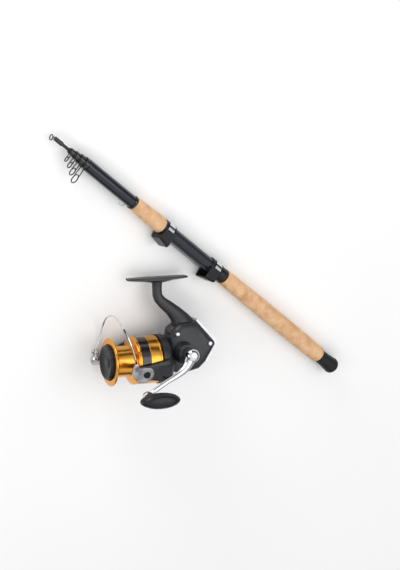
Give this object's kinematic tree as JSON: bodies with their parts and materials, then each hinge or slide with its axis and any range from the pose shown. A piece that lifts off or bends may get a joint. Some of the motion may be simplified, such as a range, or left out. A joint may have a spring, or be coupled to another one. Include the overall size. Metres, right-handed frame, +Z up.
{
  "type": "fishing rod with spinning reel",
  "caption": "Collapsed telescopic fishing rod with cork grips lying beside its spinning reel, which swings onto the reel seat.",
  "frame": {"origin": "middle of the footprint, on the surface the rod and reel lie on", "axes": "-X along the rod to its tip, +Z up from the surface, reel on the -Y side of the rod"},
  "size_m": [0.5056, 0.1888, 0.1395],
  "materials": {
    "black_plastic": "satin",
    "blank_gloss": "glossy clear coat over black",
    "butt_rubber": "matt",
    "chrome": "polished",
    "cork": "natural cork",
    "drag_felt": "oiled felt",
    "gear_brass": "machined",
    "gloss_black": "glossy",
    "gold_anodised": "orange-gold anodised",
    "graphite_body": "satin, slightly grained",
    "seat_plastic": "satin",
    "silver_paint": "metallic silver",
    "steel": "turned"
  },
  "bodies": {
    "rod": {"butt_blank": "blank_gloss", "seat_barrel": "seat_plastic", "foregrip": "cork", "rear_grip": "cork", "butt_cap": "butt_rubber", "winding_check": "gloss_black", "hook_keeper": "chrome", "front_hood": "black_plastic", "front_hood_plate": "chrome"},
    "rear_hood": {"rear_hood": "black_plastic", "rear_hood_plate": "chrome"},
    "lock_nut": {"lock_nut": "black_plastic"},
    "section_1": {"section_1": "blank_gloss", "guide_1": "gloss_black"},
    "section_2": {"section_2": "blank_gloss", "guide_2": "gloss_black"},
    "section_3": {"section_3": "blank_gloss", "guide_3": "gloss_black"},
    "section_4": {"section_4": "blank_gloss", "guide_4": "gloss_black"},
    "section_5": {"section_5": "blank_gloss", "tip_guide": "gloss_black"},
    "reel": {"reel_housing": "graphite_body", "side_cover": "graphite_body", "rear_guard": "silver_paint", "cover_screw_1": "steel", "cover_screw_2": "steel", "left_bearing": "steel", "right_bearing": "steel", "pinion_bearing": "steel", "one_way_clutch": "steel", "oscillator_pin": "steel", "shaft_cap": "black_plastic"},
    "drive": {"drive_gear": "gear_brass", "crank_arm": "chrome"},
    "knob": {"handle_knob": "black_plastic"},
    "rotor": {"rotor": "graphite_body", "pinion_gear": "gear_brass", "rotor_nut": "steel", "near_pivot_screw": "black_plastic", "far_pivot_screw": "black_plastic"},
    "bail": {"bail_near_arm": "silver_paint", "bail_far_arm": "silver_paint", "bail_wire": "chrome"},
    "line_roller": {"line_roller": "chrome"},
    "shaft": {"main_shaft": "steel", "crosswind_slider": "steel"},
    "spool": {"spool": "gold_anodised", "spool_band": "gloss_black", "drag_washers": "drag_felt", "drag_retainer": "steel"},
    "drag_knob": {"drag_knob": "black_plastic"},
    "oscillator": {"oscillator_gear": "gear_brass"}
  },
  "joints": [
    {"name": "section_1_slide", "type": "slide", "parent": "rod", "child": "section_1", "axis": [-1, 0, 0], "range_m": [0, 0.36]},
    {"name": "section_2_slide", "type": "slide", "parent": "section_1", "child": "section_2", "axis": [-1, 0, 0], "range_m": [0, 0.36]},
    {"name": "section_3_slide", "type": "slide", "parent": "section_2", "child": "section_3", "axis": [-1, 0, 0], "range_m": [0, 0.36]},
    {"name": "section_4_slide", "type": "slide", "parent": "section_3", "child": "section_4", "axis": [-1, 0, 0], "range_m": [0, 0.36]},
    {"name": "section_5_slide", "type": "slide", "parent": "section_4", "child": "section_5", "axis": [-1, 0, 0], "range_m": [0, 0.36]},
    {"name": "hood_slide", "type": "slide", "parent": "rod", "child": "rear_hood", "axis": [-1, 0, 0], "range_m": [0, 0.013]},
    {"name": "lock_nut_turn", "type": "hinge", "parent": "rear_hood", "child": "lock_nut", "pos_m": [0.0372, 0.08386, 0.0104], "axis": [-1, 0, 0], "range_deg": [0, 1171]},
    {"name": "reel_swing", "type": "hinge", "parent": "rear_hood", "child": "reel", "pos_m": [0.0363, 0.03195, 0.01321], "axis": [0, 0, -1], "range_deg": [0, 39]},
    {"name": "handle_turn", "type": "hinge", "parent": "reel", "child": "drive", "pos_m": [0.04404, -0.0132, 0.04025], "axis": [-0.1945, 0.2402, 0.9511], "continuous": true},
    {"name": "knob_spin", "type": "hinge", "parent": "drive", "child": "knob", "pos_m": [0.01125, -0.06643, 0.11008], "axis": [-0.1945, 0.2402, 0.9511], "continuous": true},
    {"name": "rotor_spin", "type": "hinge", "parent": "reel", "child": "rotor", "pos_m": [0.02755, -0.03574, 0.04257], "axis": [-0.7771, -0.6293, 0], "continuous": true},
    {"name": "bail_flip", "type": "hinge", "parent": "rotor", "child": "bail", "pos_m": [0.00734, -0.0521, 0.04257], "axis": [0.0165, -0.0203, 0.9997], "range_deg": [0, 95]},
    {"name": "roller_spin", "type": "hinge", "parent": "bail", "child": "line_roller", "pos_m": [-0.01465, -0.08215, 0.00481], "axis": [-0.6291, 0.7769, 0.0262], "continuous": true},
    {"name": "oscillator_turn", "type": "hinge", "parent": "reel", "child": "oscillator", "pos_m": [0.06741, -0.01028, 0.03272], "axis": [-0.1945, 0.2402, 0.9511], "continuous": true},
    {"name": "spool_stroke", "type": "slide", "parent": "reel", "child": "shaft", "axis": [-0.7771, -0.6293, 0], "range_m": [0, 0.014]},
    {"name": "spool_turn", "type": "hinge", "parent": "shaft", "child": "spool", "pos_m": [-0.00743, -0.06406, 0.04257], "axis": [-0.7771, -0.6293, 0], "continuous": true},
    {"name": "drag_knob_turn", "type": "hinge", "parent": "shaft", "child": "drag_knob", "pos_m": [-0.01908, -0.0735, 0.04257], "axis": [-0.7771, -0.6293, 0], "range_deg": [0, 1080]}
  ],
  "couplings": [
    {"joint": "lock_nut_turn", "follows": "hood_slide", "rad_per_m": 1570.8},
    {"joint": "rotor_spin", "follows": "handle_turn", "ratio": 5},
    {"joint": "oscillator_turn", "follows": "handle_turn", "ratio": -1.5}
  ]
}
